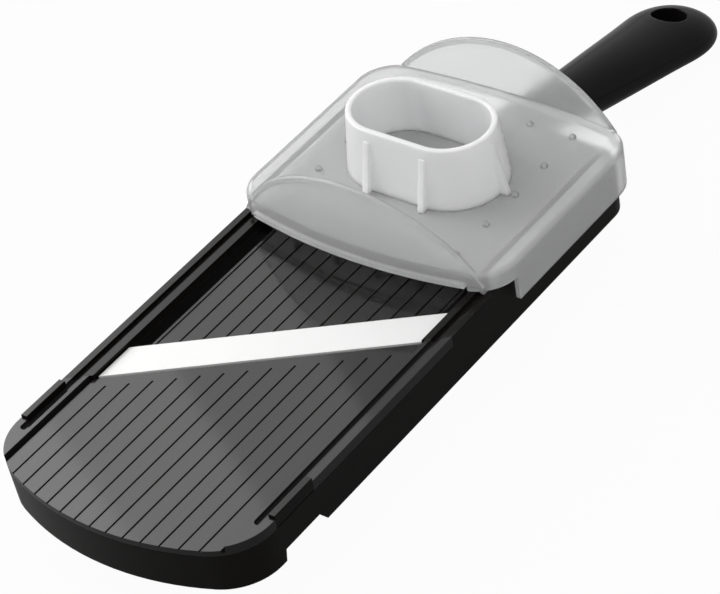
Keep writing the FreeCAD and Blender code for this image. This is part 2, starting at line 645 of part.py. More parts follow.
def make_handle():
    """Drooping handle: rings lofted from a neck to a broad round end, a hanging hole and a tang."""
    rings = []
    for n, (along, share, thick) in enumerate(HANDLE_RINGS):
        half = "(handle_root + (handle_end - handle_root) * %s) / 2" % share
        rings.append(ring("handle_ring_%d" % n, along, half, "handle_thick / 2 * %s" % thick))
    for n, (along, share) in enumerate(END_RINGS):
        rings.append(ring("handle_end_ring_%d" % n, along, "handle_end / 2 * %s" % share,
                          "handle_thick / 2 * %s" % share))
    body = DOC.addObject("Part::Loft", "handle_body")
    body.Sections = rings
    body.Solid = True
    body.MaxDegree = 3
    hang = cylinder("handle_hang", "hang_radius", "0", "handle_length - hang_inset",
                    ("-handle_thick", "handle_thick"))
    holed = cut("handle_holed", body, [hang])
    room = box("handle_room", ("-body_width", "body_width"), ("-handle_length", "handle_length * 2"),
               ("-body_width", "body_width"))
    drooped = common("handle_drooped", holed, room)
    turn = FreeCAD.Rotation(Vector(1, 0, 0), -value("handle_droop"))
    drooped.Placement = FreeCAD.Placement(Vector(0, value("body_length"), -value("handle_drop")), turn)
    trim = box("handle_trim", ("-body_width", "body_width"), ("0", "body_length"),
               ("-body_width", "body_width"))
    grip = cut("handle_grip", drooped, [trim])
    tang = box("handle_tang", ("-tang_width / 2", "tang_width / 2"),
               ("body_length - end_wall - tang_length", "body_length + wall"), (TANG_LOW, "-tang_top"))
    whole = fuse("handle_whole", [grip, tang])
    node("handle", cut("handle_part", whole, screw_holes("handle", TANG_SPOTS, SHELF_LOW, TANG_BITE)))


# The guard

def arch(name, half, rise, y):
    """A lying cylinder whose crown stands rise above the guard plate with a span of two halves there."""
    solid = DOC.addObject("Part::Cylinder", name)
    radius = "((%s)^2 + (%s)^2) / (2 * (%s))" % (half, rise, rise)
    bind(solid, Radius=radius, Height="(%s) - (%s)" % (y[1], y[0]))
    solid.Placement = FreeCAD.Placement(Vector(0, 0, 0), FreeCAD.Rotation(Vector(1, 0, 0), -RIGHT_ANGLE))
    return place(solid, "0", y[0], "guard_top + (%s) - %s" % (rise, radius))


def tray_block(name, inset, z):
    """The guard's outline set in by inset: bowed front and rear, straight sides, round corners."""
    bow = "((front_half^2 + shield_bow^2) / (2 * shield_bow))"
    back = "((rear_half^2 + rear_bow^2) / (2 * rear_bow))"
    half = "(guard_width / 2 - %s)" % inset
    blank = box(name + "_blank", ("-" + half, half),
                ("guard_front - shield_bow * 2", "guard_rear + rear_bow * 2"), z)
    front = cylinder(name + "_front", "%s - %s" % (bow, inset), "0", "guard_front - shield_bow + " + bow, z)
    rear = cylinder(name + "_rear", "%s - %s" % (back, inset), "0", "guard_rear + rear_bow - " + back, z)
    shape = common(name + "_plan", common(name + "_nose", blank, front), rear)
    return rounded(name, shape, "guard_corner - %s" % inset, upright)


def make_guard():
    """Guard plate with flared skirts, runners, a front lip and two arched shields."""
    low = "guard_top - guard_wall"
    bow = "(front_half^2 + shield_bow^2) / (2 * shield_bow)"
    nose = "guard_front - shield_bow"
    back = "(rear_half^2 + rear_bow^2) / (2 * rear_bow)"
    tail = "guard_rear + rear_bow"
    tray = tray_block("guard_outer", "0", ("guard_top - skirt_drop", "guard_top"))
    rim = value("guard_top") - NEAR
    tray = rounded("guard_creased", tray, "crease", lambda e: e.BoundBox.ZMin > rim)
    inner = tray_block("guard_inner", "guard_wall", ("guard_top - skirt_drop - wall", low))
    under = [box("guard_under", ("-body_width / 2 - slide_clear * 2", "body_width / 2 + slide_clear * 2"),
                 ("0", "body_length * 2"), ("-wall_depth", "tab_low")),
             box("guard_mouth", ("-body_width", "body_width"), ("0", "skirt_front"),
                 ("-wall_depth", "tab_low")),
             box("guard_lip_gap", ("-deck_width / 2", "deck_width / 2"), ("0", "body_length * 2"),
                 ("-wall_depth", "guard_top - lip_drop"))]
    plate = cut("guard_tray", tray, [inner] + under)
    tall = ("guard_top - lip_drop", "guard_top + front_rise * 2")
    centre = "%s + %s" % (nose, bow)
    curve = cut("front_ring", cylinder("front_outside", bow, "0", centre, tall),
                [cylinder("front_inside", bow + " - guard_wall", "0", centre, tall)])
    front = common("front_shield", curve, arch("front_arch", "front_half", "front_rise",
                                               (nose + " - wall", "guard_front + wall * 2")))
    lip_high = ("guard_top - lip_drop", "guard_top - lip_drop + guard_wall")
    flange = cut("lip_ring", cylinder("lip_outside", bow + " + lip_reach", "0", centre, lip_high),
                 [cylinder("lip_inside", bow + " - guard_wall / 2", "0", centre, lip_high)])
    lip = common("front_lip", flange, box("lip_span", ("-deck_width / 2", "deck_width / 2"),
                                          (nose + " - wall * 2", "guard_front + wall"), lip_high))
    high = (low, "guard_top + rear_rise * 2")
    band = cut("rear_ring", cylinder("rear_outside", back, "0", "%s - %s" % (tail, back), high),
               [cylinder("rear_inside", back + " - guard_wall", "0", "%s - %s" % (tail, back), high)])
    rear = common("rear_shield", band, arch("rear_arch", "rear_half", "rear_rise",
                                            ("guard_rear - wall * 2", tail + " + wall")))
    sides = []
    for side, sign in (("left", "-"), ("right", "")):
        middle = "%s(%s + %s) / 2" % (sign, GUIDE, INSIDE)
        sides.append(box("runner_" + side, (middle + " - runner_width / 2", middle + " + runner_width / 2"),
                         ("runner_front", "guard_rear - guard_corner"),
                         ("rim_height - guide_depth + run_clear", low)))
    holes = [cylinder("pin_hole_%d" % n, "pin_radius + run_clear", x, y, (low, "guard_top"))
             for n, (x, y) in enumerate(PIN_SPOTS)]
    whole = fuse("guard_whole", [plate, front, lip, rear] + sides)
    node("guard_plate", cut("guard_part", whole, holes))


PIN_SPOTS = [("pin_pitch_x * %d" % column, "pin_front + pin_pitch_y * %d" % row)
             for row, columns in enumerate(((-2, -1, 0, 1, 2), (-2, 2), (-2, 2), (-2, 2), (-2, -1, 0, 1, 2)))
             for column in columns]


def make_pins():
    """Gripper pins: a domed head on the plate, a shank through it and a spike below it."""
    low = "guard_top - guard_wall"
    solids = []
    for n, (x, y) in enumerate(PIN_SPOTS):
        dome = DOC.addObject("Part::Sphere", "pin_dome_%d" % n)
        dome.Angle1 = 0
        bind(dome, Radius="dome_radius")
        place(dome, x, y, "guard_top")
        shank = cylinder("pin_shank_%d" % n, "pin_radius", x, y, (low, "guard_top"))
        spike = cone("pin_spike_%d" % n, "pin_point", "pin_radius", x, y, ("pin_tip", low))
        solids.append(fuse("pin_%d" % n, [dome, shank, spike]))
    node("gripper_pins", group("gripper_pins", solids))


def stadium(name, low_radius, high_radius, low, high):
    """A tapering stadium over the cup's centre between two heights."""
    ends = [cone("%s_%s" % (name, side), low_radius, high_radius, x, "cup_place", (low, high))
            for side, x in (("left", "-cup_half"), ("right", "cup_half"))]
    middle = prism(name + "_middle", "YZ_Plane", "-cup_half", "cup_half * 2",
                   [("cup_place - (%s)" % low_radius, low), ("cup_place + (%s)" % low_radius, low),
                    ("cup_place + (%s)" % high_radius, high), ("cup_place - (%s)" % high_radius, high)])
    return fuse(name, ends + [middle])


def make_cup():
    """Finger cup with a rounded rim and ribs that spread towards its foot."""
    top = "guard_top + cup_height"
    outer = stadium("cup_outer", "cup_base", "cup_rim", "guard_top", top)
    inner = stadium("cup_inner", "cup_base - cup_wall", "cup_rim - cup_wall", "guard_top", top)
    shell = cut("cup_shell", outer, [inner])
    crown = value(top) - NEAR
    shell = rounded("cup_soft", shell, "cup_wall / 3", lambda e: e.BoundBox.ZMin > crown)
    fin_top = top + " - cup_wall * 2"
    spread = stadium("fin_spread", "cup_base + fin_reach * 2", "cup_rim + fin_reach / 2",
                     "guard_top", fin_top)
    fins = [box("fin_slab_" + side, (x + " - fin_width / 2", x + " + fin_width / 2"),
                ("cup_place - cup_base * 2", "cup_place + cup_base * 2"), ("guard_top", fin_top))
            for side, x in (("left", "-cup_half"), ("right", "cup_half"))]
    fins.append(box("fin_slab_ends", ("-cup_half - cup_base * 2", "cup_half + cup_base * 2"),
                    ("cup_place - fin_width / 2", "cup_place + fin_width / 2"), ("guard_top", fin_top)))
    ribs = common("fin_cross", fuse("fin_slabs", fins), spread)
    core = stadium("fin_core", "cup_base - cup_wall / 2", "cup_rim - cup_wall / 2", "guard_top", top)
    node("finger_cup", fuse("cup_part", [shell, cut("cup_fins", ribs, [core])]))


def finish():
    """Check every object, move the origin to the bottom centre of the box and write the sub-parts."""
    DOC.recompute()
    for thing in DOC.Objects:
        if "Invalid" in thing.State or "Error" in thing.State:
            raise RuntimeError("%s did not build" % thing.Name)
    whole = FreeCAD.BoundBox()
    for thing in NODES:
        if thing.Shape.isNull() or not thing.Shape.isValid():
            raise RuntimeError("%s has no sound shape" % thing.Label)
        whole.add(thing.Shape.optimalBoundingBox(False, False))
    shift = Vector(-(whole.XMin + whole.XMax) / 2, -(whole.YMin + whole.YMax) / 2, -whole.ZMin)
    os.makedirs("parts", exist_ok=True)
    for thing in NODES:
        before = thing.Shape.BoundBox.Center
        thing.Placement = FreeCAD.Placement(shift, FreeCAD.Rotation()).multiply(thing.Placement)
        if (thing.Shape.BoundBox.Center - before - shift).Length > NEAR:
            raise RuntimeError("%s was not moved" % thing.Label)
        thing.Shape.exportStep("parts/%s.step" % thing.Label)
        print("%s: %d solids, %.1f mm3" % (thing.Label, len(thing.Shape.Solids), thing.Shape.Volume))
    print("shift %.4f %.4f %.4f" % (shift.x, shift.y, shift.z))
    print("size %.3f %.3f %.3f" % (whole.XLength, whole.YLength, whole.ZLength))


fill_sheet()
make_frame()
make_front_deck()
make_rim_blocks()
make_blade()
make_blade_seat()
make_runway()
make_dial()
make_bridge()
make_handle()
screws("seat_screws", SEAT_SPOTS, SEAT_LOW, SEAT_BITE)
screws("deck_screws", DECK_SPOTS, DECK_LOW, DECK_BITE)
screws("bridge_screws", BRIDGE_SPOTS, BRIDGE_LOW, BRIDGE_BITE)
screws("handle_screws", TANG_SPOTS, SHELF_LOW, TANG_BITE)
make_guard()
make_cup()
make_pins()
finish()
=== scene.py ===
"""Looks of the mandoline slicer: plastics, ceramic blade, frosted guard, light and camera."""
import logging
import math
from dataclasses import dataclass
from enum import Enum
from typing import Callable, Dict, Iterable, Tuple

import bpy
from mathutils import Matrix, Vector


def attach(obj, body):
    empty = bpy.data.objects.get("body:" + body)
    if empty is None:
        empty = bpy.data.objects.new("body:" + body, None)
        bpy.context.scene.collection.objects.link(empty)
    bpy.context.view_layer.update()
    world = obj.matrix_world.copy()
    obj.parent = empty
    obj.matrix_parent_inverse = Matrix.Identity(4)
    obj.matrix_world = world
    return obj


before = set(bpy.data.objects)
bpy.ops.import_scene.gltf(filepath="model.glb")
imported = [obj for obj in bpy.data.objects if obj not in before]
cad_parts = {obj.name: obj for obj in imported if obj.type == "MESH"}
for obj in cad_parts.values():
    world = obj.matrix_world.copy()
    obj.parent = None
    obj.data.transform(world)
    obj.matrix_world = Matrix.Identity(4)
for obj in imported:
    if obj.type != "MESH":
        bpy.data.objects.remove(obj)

LOG = logging.getLogger("slicer")
MM = 0.001
# Row-frame place of the design frame's zero: tip front, centre line, landing-deck level.
TIP_Y = -0.1563571
DECK_Z = 0.0360366
# Scales of the broad changes in roughness and in colour.
BROAD_SCALE = 28.0
CLOUD_SCALE = 22.0
# Noise levels between which rubbed marks fade in.
RUB_BAND = (0.55, 0.8)
# Upward share of a face's normal between which the polish fades in.
POLISH_BAND = (0.75, 0.97)
# Finishing of new meshes: merge distance in metres and the angle that stays sharp.
MERGE = 0.000005
SHARP = math.radians(40)

Node = bpy.types.Node
Tree = bpy.types.NodeTree
Socket = bpy.types.NodeSocket
Material = bpy.types.Material
Piece = bpy.types.Object
Colour = Tuple[float, float, float]
Names = Tuple[str, ...]


class Body(Enum):
    """Rigid bodies that new pieces ride on."""

    DIAL = "dial"
    GUARD = "guard"


class Effect(Enum):
    """Shader node groups that several finishes share."""

    MOULDED = "moulded_skin"
    RUBBED = "rubbed_marks"
    SOFT_EDGE = "soft_edge"


def design(x: float, y: float, z: float) -> Vector:
    """Turn a point in design millimetres into the row frame.

    Args:
        x: Millimetres across the slicer.
        y: Millimetres from the tip's front.
        z: Millimetres above the landing deck.

    Returns:
        The point in metres in the row frame.
    """
    return Vector((x * MM, y * MM + TIP_Y, z * MM + DECK_Z))


class GroupBuilder:
    """Builds one shader node group with named sockets."""

    def __init__(self, effect: Effect, inputs: Iterable[Tuple[str, float]],
                 outputs: Iterable[Tuple[str, str]]) -> None:
        """Make the empty group.

        Args:
            effect: Which shared effect the group is.
            inputs: Names and defaults of its number inputs.
            outputs: Names and socket types of its outputs.
        """
        self.tree: Tree = bpy.data.node_groups.new(effect.value, "ShaderNodeTree")
        for name, default in inputs:
            socket = self.tree.interface.new_socket(name, in_out="INPUT",
                                                    socket_type="NodeSocketFloat")
            socket.default_value = default
        for name, kind in outputs:
            self.tree.interface.new_socket(name, in_out="OUTPUT", socket_type=kind)
        self.source: Node = self.tree.nodes.new("NodeGroupInput")
        self.sink: Node = self.tree.nodes.new("NodeGroupOutput")

    def add(self, kind: str, **settings: object) -> Node:
        """Add a node.

        Args:
            kind: The node's type name.
            **settings: Properties to set on it.

        Returns:
            The new node.
        """
        node = self.tree.nodes.new(kind)
        for name, setting in settings.items():
            setattr(node, name, setting)
        return node

    def link(self, start: Socket, end: Socket) -> None:
        """Join two sockets."""
        self.tree.links.new(start, end)


class SharedEffects:
    """The node groups that finishes use."""

    def __init__(self) -> None:
        """Build every group once."""
        self.moulded: Tree = self._moulded()
        self.rubbed: Tree = self._rubbed()
        self.soft_edge: Tree = self._soft_edge()

    @staticmethod
    def _moulded() -> Tree:
        """Fine moulded texture: a roughness spread and a height.

        Returns:
            The node group.
        """
        made = GroupBuilder(Effect.MOULDED,
                            [("Scale", 900.0), ("Roughness", 0.3), ("Spread", 0.1)],
                            [("Roughness", "NodeSocketFloat"), ("Height", "NodeSocketFloat")])
        place = made.add("ShaderNodeTexCoord")
        fine = made.add("ShaderNodeTexNoise")
        fine.inputs["Detail"].default_value = 3.0
        made.link(place.outputs["Object"], fine.inputs["Vector"])
        made.link(made.source.outputs["Scale"], fine.inputs["Scale"])
        broad = made.add("ShaderNodeTexNoise")
        broad.inputs["Scale"].default_value = BROAD_SCALE
        broad.inputs["Detail"].default_value = 2.0
        made.link(place.outputs["Object"], broad.inputs["Vector"])
        swing = made.add("ShaderNodeMath", operation="SUBTRACT")
        swing.inputs[1].default_value = 0.5
        made.link(broad.outputs["Fac"], swing.inputs[0])
        spread = made.add("ShaderNodeMath", operation="MULTIPLY_ADD")
        made.link(swing.outputs[0], spread.inputs[0])
        made.link(made.source.outputs["Spread"], spread.inputs[1])
        made.link(made.source.outputs["Roughness"], spread.inputs[2])
        made.link(spread.outputs[0], made.sink.inputs["Roughness"])
        made.link(fine.outputs["Fac"], made.sink.inputs["Height"])
        return made.tree

    @staticmethod
    def _rubbed() -> Tree:
        """Faint marks rubbed along the slicing direction.

        Returns:
            The node group.
        """
        made = GroupBuilder(Effect.RUBBED,
                            [("Across", 1400.0), ("Along", 12.0), ("Strength", 1.0)],
                            [("Mask", "NodeSocketFloat")])
        place = made.add("ShaderNodeTexCoord")
        stretch = made.add("ShaderNodeCombineXYZ")
        made.link(made.source.outputs["Across"], stretch.inputs["X"])
        made.link(made.source.outputs["Along"], stretch.inputs["Y"])
        made.link(made.source.outputs["Along"], stretch.inputs["Z"])
        scaled = made.add("ShaderNodeVectorMath", operation="MULTIPLY")
        made.link(place.outputs["Object"], scaled.inputs[0])
        made.link(stretch.outputs[0], scaled.inputs[1])
        streak = made.add("ShaderNodeTexNoise")
        streak.inputs["Scale"].default_value = 1.0
        streak.inputs["Detail"].default_value = 4.0
        made.link(scaled.outputs[0], streak.inputs["Vector"])
        band = made.add("ShaderNodeMapRange")
        band.inputs["From Min"].default_value, band.inputs["From Max"].default_value = RUB_BAND
        made.link(streak.outputs["Fac"], band.inputs["Value"])
        gain = made.add("ShaderNodeMath", operation="MULTIPLY")
        made.link(band.outputs[0], gain.inputs[0])
        made.link(made.source.outputs["Strength"], gain.inputs[1])
        made.link(gain.outputs[0], made.sink.inputs["Mask"])
        return made.tree

    @staticmethod
    def _soft_edge() -> Tree:
        """Normal that rounds the light over moulded edges.

        Returns:
            The node group.
        """
        made = GroupBuilder(Effect.SOFT_EDGE, [("Radius", 0.0004)],
                            [("Normal", "NodeSocketVector")])
        bevel = made.add("ShaderNodeBevel", samples=4)
        made.link(made.source.outputs["Radius"], bevel.inputs["Radius"])
        made.link(bevel.outputs["Normal"], made.sink.inputs["Normal"])
        return made.tree


@dataclass(frozen=True)
class Finish:
    """One moulded or machined finish, written as a Principled material.

    Attributes:
        name: Material name.
        base: Linear base colour.
        tint: Colour that broad variation drifts to.
        roughness: Mean roughness.
        spread: Swing of the roughness.
        grain: Scale of the fine texture.
        bump: Height of the fine texture in metres.
        specular: Specular level.
        metallic: Metallic share.
        coat: Polish on faces that look up.
        coat_roughness: Roughness of that polish.
        transmission: Share of light let through.
        ior: Index of refraction.
        rubbed: Strength of marks along the slicing direction.
        edge: Radius that light is rounded over at edges, in metres.
        subsurface: Share of light scattered below the surface.
        scatter: How far that light travels, in metres.
        mirrored: Share of the colour kept where a glossy surface mirrors it; the rest is painted
            shade on the piece's reflections.
    """

    name: str
    base: Colour
    tint: Colour
    roughness: float = 0.3
    spread: float = 0.1
    grain: float = 900.0
    bump: float = 0.00002
    specular: float = 0.5
    metallic: float = 0.0
    coat: float = 0.0
    coat_roughness: float = 0.1
    transmission: float = 0.0
    ior: float = 1.5
    rubbed: float = 0.0
    edge: float = 0.0004
    subsurface: float = 0.0
    scatter: float = 0.0005
    mirrored: float = 1.0

    def build(self, effects: SharedEffects) -> Material:
        """Make the material.

        Args:
            effects: The shared node groups.

        Returns:
            The new material.
        """
        material = bpy.data.materials.new(self.name)
        material.use_nodes = True
        tree = material.node_tree
        shader = tree.nodes["Principled BSDF"]
        shader.inputs["Metallic"].default_value = self.metallic
        shader.inputs["Specular IOR Level"].default_value = self.specular
        shader.inputs["IOR"].default_value = self.ior
        shader.inputs["Transmission Weight"].default_value = self.transmission
        shader.inputs["Coat Roughness"].default_value = self.coat_roughness
        shader.inputs["Subsurface Weight"].default_value = self.subsurface
        shader.inputs["Subsurface Scale"].default_value = self.scatter
        shader.inputs["Subsurface Radius"].default_value = (1.0, 1.0, 1.0)
        self._colour(tree, shader)
        skin = self._group(tree, effects.moulded)
        skin.inputs["Scale"].default_value = self.grain
        skin.inputs["Roughness"].default_value = self.roughness
        skin.inputs["Spread"].default_value = self.spread
        roughness = skin.outputs["Roughness"]
        if self.rubbed:
            marks = self._group(tree, effects.rubbed)
            marks.inputs["Strength"].default_value = self.rubbed
            total = tree.nodes.new("ShaderNodeMath")
            tree.links.new(roughness, total.inputs[0])
            tree.links.new(marks.outputs["Mask"], total.inputs[1])
            roughness = total.outputs[0]
        tree.links.new(roughness, shader.inputs["Roughness"])
        soft = self._group(tree, effects.soft_edge)
        soft.inputs["Radius"].default_value = self.edge
        bump = tree.nodes.new("ShaderNodeBump")
        bump.inputs["Distance"].default_value = self.bump
        tree.links.new(skin.outputs["Height"], bump.inputs["Height"])
        tree.links.new(soft.outputs["Normal"], bump.inputs["Normal"])
        tree.links.new(bump.outputs["Normal"], shader.inputs["Normal"])
        if self.coat:
            self._polish(tree, shader)
        return material

    @staticmethod
    def _group(tree: Tree, group: Tree) -> Node:
        """Place a shared group in a material."""
        node = tree.nodes.new("ShaderNodeGroup")
        node.node_tree = group
        return node

    def _colour(self, tree: Tree, shader: Node) -> None:
        """Drift the base colour towards the tint in broad patches."""
        place = tree.nodes.new("ShaderNodeTexCoord")
        cloud = tree.nodes.new("ShaderNodeTexNoise")
        cloud.inputs["Scale"].default_value = CLOUD_SCALE
        cloud.inputs["Detail"].default_value = 4.0
        mix = tree.nodes.new("ShaderNodeMix")
        mix.data_type = "RGBA"
        mix.inputs["A"].default_value = (*self.base, 1.0)
        mix.inputs["B"].default_value = (*self.tint, 1.0)
        tree.links.new(place.outputs["Object"], cloud.inputs["Vector"])
        tree.links.new(cloud.outputs["Fac"], mix.inputs["Factor"])
        colour = mix.outputs["Result"]
        # Painted shade: where glossy surfaces mirror the piece, its colour is darkened.
        if self.mirrored < 1.0:
            colour = self._paint_reflection_shade(tree, colour)
        tree.links.new(colour, shader.inputs["Base Color"])

    def _paint_reflection_shade(self, tree: Tree, colour: Socket) -> Socket:
        """Paint shade into the colour seen in mirrored rays that have not passed through the piece,
        so that its reflections show darker.

        Args:
            tree: The material's nodes.
            colour: The colour elsewhere.

        Returns:
            The colour for all rays.
        """
        seen = tree.nodes.new("ShaderNodeLightPath")
        only = tree.nodes.new("ShaderNodeMath")
        only.operation = "SUBTRACT"
        only.use_clamp = True
        tree.links.new(seen.outputs["Is Glossy Ray"], only.inputs[0])
        tree.links.new(seen.outputs["Is Transmission Ray"], only.inputs[1])
        dim = tree.nodes.new("ShaderNodeMix")
        dim.data_type = "RGBA"
        dim.inputs["B"].default_value = (*(part * self.mirrored for part in self.base), 1.0)
        tree.links.new(only.outputs[0], dim.inputs["Factor"])
        tree.links.new(colour, dim.inputs["A"])
        return dim.outputs["Result"]

    def _polish(self, tree: Tree, shader: Node) -> None:
        """Polish the faces that look up and leave the walls satin."""
        place = tree.nodes.new("ShaderNodeTexCoord")
        parts = tree.nodes.new("ShaderNodeSeparateXYZ")
        reach = tree.nodes.new("ShaderNodeMapRange")
        reach.inputs["From Min"].default_value, reach.inputs["From Max"].default_value = POLISH_BAND
        reach.inputs["To Max"].default_value = self.coat
        tree.links.new(place.outputs["Normal"], parts.inputs[0])
        tree.links.new(parts.outputs["Z"], reach.inputs["Value"])
        tree.links.new(reach.outputs[0], shader.inputs["Coat Weight"])


BLACK_SHELL = Finish(
    "black_shell", (0.0040, 0.0033, 0.0029), (0.0060, 0.0050, 0.0044), roughness=0.34,
    specular=0.08, coat=0.8, coat_roughness=0.14, grain=1500.0, bump=0.000012)
BLACK_DECK = Finish(
    "black_deck", (0.0095, 0.0085, 0.0083), (0.015, 0.0136, 0.0133), roughness=0.3,
    specular=0.2, coat=1.0, coat_roughness=0.055, grain=1200.0, bump=0.000012, rubbed=0.10)
BLACK_GRIP = Finish(
    "black_grip", (0.0042, 0.0035, 0.0034), (0.0062, 0.0053, 0.0051), roughness=0.1,
    specular=0.11, grain=1800.0, bump=0.000008, edge=0.0008)
DARK_MECHANISM = Finish(
    "dark_mechanism", (0.035, 0.035, 0.036), (0.05, 0.05, 0.05), roughness=0.5,
    specular=0.4, grain=1000.0, bump=0.00003)
WHITE_CERAMIC = Finish(
    "white_ceramic", (0.86, 0.86, 0.85), (0.80, 0.80, 0.80), roughness=0.28, spread=0.08,
    grain=2600.0, bump=0.000006, rubbed=0.08, edge=0.0002, subsurface=0.15)
# The guard's colour is darkened where the decks mirror it: painted shade in its reflections.
FROSTED = Finish(
    "frosted_guard", (0.985, 0.99, 0.99), (0.95, 0.956, 0.956), roughness=0.22, spread=0.1,
    grain=2200.0, bump=0.00002, transmission=0.72, ior=1.42, edge=0.0005, mirrored=0.22)
MILKY = Finish(
    "milky_cup", (0.97, 0.98, 0.99), (0.945, 0.955, 0.965), roughness=0.34, spread=0.1,
    grain=2200.0, bump=0.00002, transmission=0.1, ior=1.42, edge=0.0004, subsurface=1.0,
    scatter=0.003)
PLAIN_STEEL = Finish(
    "plain_steel", (0.55, 0.55, 0.55), (0.45, 0.45, 0.45), roughness=0.32, metallic=1.0,
    grain=700.0, bump=0.00001, edge=0.0001)


@dataclass
class Dressing:
    """Which finish each moulded or machined node takes."""

    shell: Names = ("frame", "rim_block_left", "rim_block_right")
    decks: Names = ("front_deck", "runway_plate")
    grip: Names = ("handle",)
    mechanism: Names = ("adjust_dial", "cross_bridge", "blade_seat")
    ceramic: Names = ("blade",)
    frosted: Names = ("guard_plate", "gripper_pins")
    milky: Names = ("finger_cup",)
    steel: Names = ("seat_screws", "deck_screws", "bridge_screws", "handle_screws", "dial_clip",
                    "detent_leaf", "detent_screw")

    def apply(self, paints: "PaintBox") -> None:
        """Give each node its material.

        Args:
            paints: The built materials.
        """
        for finish, nodes in ((BLACK_SHELL, self.shell), (BLACK_DECK, self.decks),
                              (BLACK_GRIP, self.grip), (DARK_MECHANISM, self.mechanism),
                              (WHITE_CERAMIC, self.ceramic), (FROSTED, self.frosted),
                              (MILKY, self.milky), (PLAIN_STEEL, self.steel)):
            for name in nodes:
                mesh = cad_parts[name].data
                mesh.materials.clear()
                mesh.materials.append(paints.of(finish))
                LOG.info("%s: %s", name, finish.name)


class PaintBox:
    """Builds each finish once."""

    def __init__(self) -> None:
        """Build the shared effects."""
        self.effects = SharedEffects()
        self.made: Dict[str, Material] = {}

    def of(self, finish: Finish) -> Material:
        """The material of a finish, built at its first use.

        Args:
            finish: The finish wanted.

        Returns:
            Its material.
        """
        if finish.name not in self.made:
            self.made[finish.name] = finish.build(self.effects)
        return self.made[finish.name]


class Modeller:
    """Shared steps for modelling a new piece with operators."""

    @staticmethod
    def clear() -> None:
        """Deselect everything and leave edit mode."""
        if bpy.context.object and bpy.context.object.mode != "OBJECT":
            bpy.ops.object.mode_set(mode="OBJECT")
        bpy.ops.object.select_all(action="DESELECT")

    @staticmethod
    def settle(piece: Piece, name: str, material: Material, body: Body, slot: str) -> None:
        """Name a finished piece, put its place in its mesh, dress it and make it ride.

        Args:
            piece: The modelled object.
            name: Its name.
            material: Its material.
            body: The body it rides on.
            slot: Name of a material slot; not used.
        """
        Modeller.clear()
        piece.select_set(True)
        bpy.context.view_layer.objects.active = piece
        bpy.ops.object.transform_apply(location=True, rotation=True, scale=True)
        bpy.ops.object.mode_set(mode="EDIT")
        bpy.ops.mesh.select_all(action="SELECT")
        bpy.ops.mesh.remove_doubles(threshold=MERGE)
        bpy.ops.mesh.normals_make_consistent(inside=False)
        bpy.ops.object.mode_set(mode="OBJECT")
        bpy.ops.object.shade_smooth_by_angle(angle=SHARP)
        piece.name = name
        piece.data.name = name
        piece.data.materials.clear()
        piece.data.materials.append(material)
        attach(piece, body.value)
        LOG.info("%s rides %s", name, body.value)


@dataclass
class ShieldRims:
    """Rolled rims along the crowns of the guard's two shields, in design millimetres."""

    bead: float = 0.84
    front_half: float = 40.4
    front_rise: float = 21.8
    front_nose: float = 122.9
    front_bow: float = 4.6
    rear_half: float = 38.6
    rear_rise: float = 17.6
    rear_tail: float = 207.9
    rear_bow: float = 2.5
    plate_top: float = 8.0
    wall: float = 1.6
    inset: float = 0.4
    sides: int = 14
    steps: int = 64

    def build(self, paints: PaintBox) -> None:
        """Model both rims.

        Args:
            paints: The built materials.
        """
        paint = paints.of(FROSTED)
        front = self._rim(self.front_half, self.front_rise, self._front_y)
        Modeller.settle(front, "front_shield_rim", paint, Body.GUARD, "frosted_plastic")
        rear = self._rim(self.rear_half, self.rear_rise, self._rear_y)
        Modeller.settle(rear, "rear_shield_rim", paint, Body.GUARD, "frosted_plastic")

    def _front_y(self, x: float) -> float:
        """Y of the front shield's middle line at X."""
        radius = (self.front_half ** 2 + self.front_bow ** 2) / (2 * self.front_bow)
        return self.front_nose + radius - math.sqrt((radius - self.wall / 2) ** 2 - x * x)

    def _rear_y(self, x: float) -> float:
        """Y of the rear shield's middle line at X."""
        radius = (self.rear_half ** 2 + self.rear_bow ** 2) / (2 * self.rear_bow)
        return self.rear_tail - radius + math.sqrt((radius - self.wall / 2) ** 2 - x * x)

    def _rim(self, half: float, rise: float, line: Callable[[float], float]) -> Piece:
        """Spin a round bead over an arch and lay it on the shield's bowed line.

        Args:
            half: Half of the arch's span at the plate.
            rise: Height of the arch above the plate.
            line: Y of the shield's middle line for an X.

        Returns:
            The bead, not yet dressed.
        """
        radius = (half ** 2 + rise ** 2) / (2 * rise)
        centre_z = self.plate_top + rise - radius
        reach = math.asin((half - self.inset) / radius)
        run = radius - self.bead
        Modeller.clear()
        start = design(run * math.sin(-reach), 0.0, centre_z + run * math.cos(reach))
        bpy.ops.mesh.primitive_circle_add(vertices=self.sides, radius=self.bead * MM,
                                          fill_type="NGON", location=start,
                                          rotation=(0.0, math.pi / 2 - reach, 0.0))
        bead = bpy.context.object
        bpy.ops.object.transform_apply(location=True, rotation=True, scale=True)
        bpy.ops.object.mode_set(mode="EDIT")
        bpy.ops.mesh.select_all(action="SELECT")
        # The spin operator turns the other way about its axis, so the angle is negative.
        bpy.ops.mesh.spin(steps=self.steps, angle=-2 * reach,
                          center=design(0.0, 0.0, centre_z), axis=(0.0, 1.0, 0.0))
        bpy.ops.object.mode_set(mode="OBJECT")
        for vertex in bead.data.vertices:
            vertex.co.y += line(vertex.co.x / MM) * MM
        return bead


